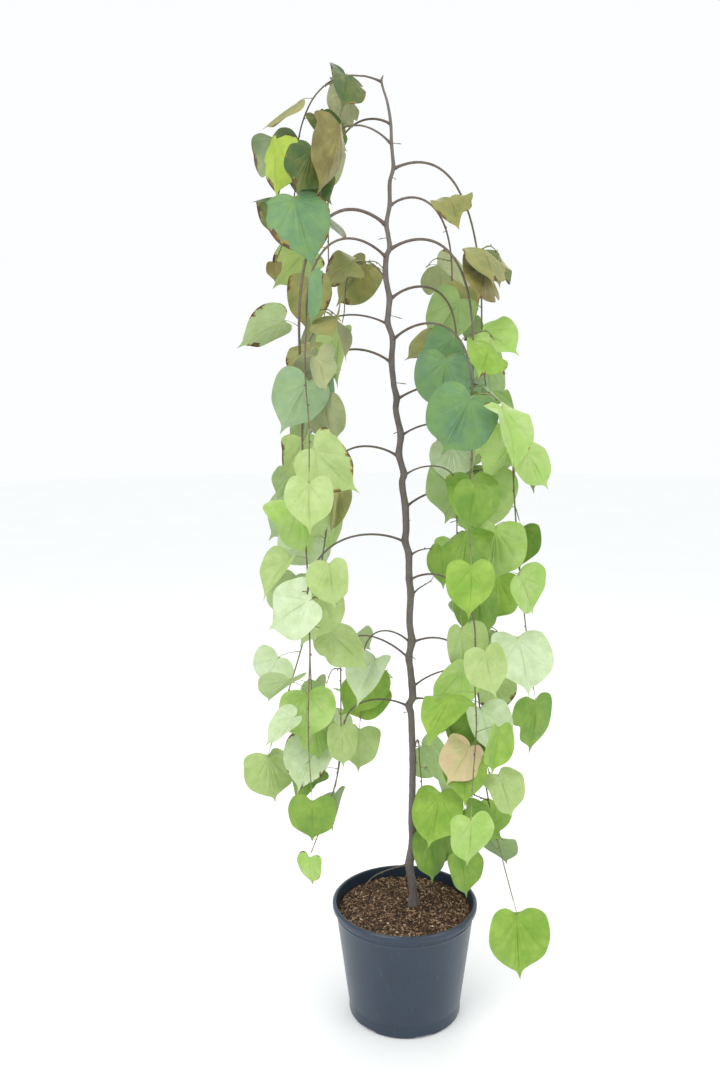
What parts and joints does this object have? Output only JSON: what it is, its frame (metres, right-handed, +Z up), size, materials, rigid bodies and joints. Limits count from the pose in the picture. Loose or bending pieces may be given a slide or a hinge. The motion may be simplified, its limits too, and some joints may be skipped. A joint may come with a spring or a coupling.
{
  "type": "weeping redbud tree in a pot",
  "caption": "Young weeping broadleaf tree in a round plastic pot: one slim upright trunk, arching boughs, and hanging shoots with heart-shaped leaves down both sides.",
  "frame": {"origin": "centre of the flat underside of the pot", "axes": "+Z up along the trunk, +X to the right of the picture, +Y away from its viewer, -Y towards the viewer"},
  "size_m": [0.7317, 0.6439, 2.2183],
  "materials": {
    "pot": "satin",
    "soil": "matte",
    "bark": "matte",
    "leaves": "satin"
  },
  "bodies": {
    "root": {"bough_back_1": "bark", "bough_back_2": "bark", "bough_back_3": "bark", "bough_back_4": "bark", "bough_back_5": "bark", "bough_front_1": "bark", "bough_front_2": "bark", "bough_front_3": "bark", "bough_front_4": "bark", "bough_left_1": "bark", "bough_left_2": "bark", "bough_left_3": "bark", "bough_left_5": "bark", "bough_left_6": "bark", "bough_left_7": "bark", "bough_left_8": "bark", "bough_right_1": "bark", "bough_right_10": "bark", "bough_right_11": "bark", "bough_right_12": "bark", "bough_right_2": "bark", "bough_right_3": "bark", "bough_right_5": "bark", "bough_right_6": "bark", "bough_right_7": "bark", "foliage_back_1": "leaves", "foliage_back_2": "leaves", "foliage_back_3": "leaves", "foliage_back_4": "leaves", "foliage_back_5": "leaves", "foliage_back_6": "leaves", "foliage_front_1": "leaves", "foliage_front_2": "leaves", "foliage_front_3": "leaves", "foliage_front_4": "leaves", "foliage_left_1": "leaves", "foliage_left_2": "leaves", "foliage_left_3": "leaves", "foliage_left_4": "leaves", "foliage_left_5": "leaves", "foliage_left_6": "leaves", "foliage_left_7": "leaves", "foliage_left_8": "leaves", "foliage_right_1": "leaves", "foliage_right_10": "leaves", "foliage_right_11": "leaves", "foliage_right_12": "leaves", "foliage_right_13": "leaves", "foliage_right_2": "leaves", "foliage_right_3": "leaves", "foliage_right_5": "leaves", "foliage_right_6": "leaves", "foliage_right_7": "leaves", "pot": "pot", "soil": "soil", "trunk": "bark", "twig_bare_left_10": "bark", "twig_bare_right_8": "bark", "twig_bare_right_9": "bark"}
  },
  "joints": []
}
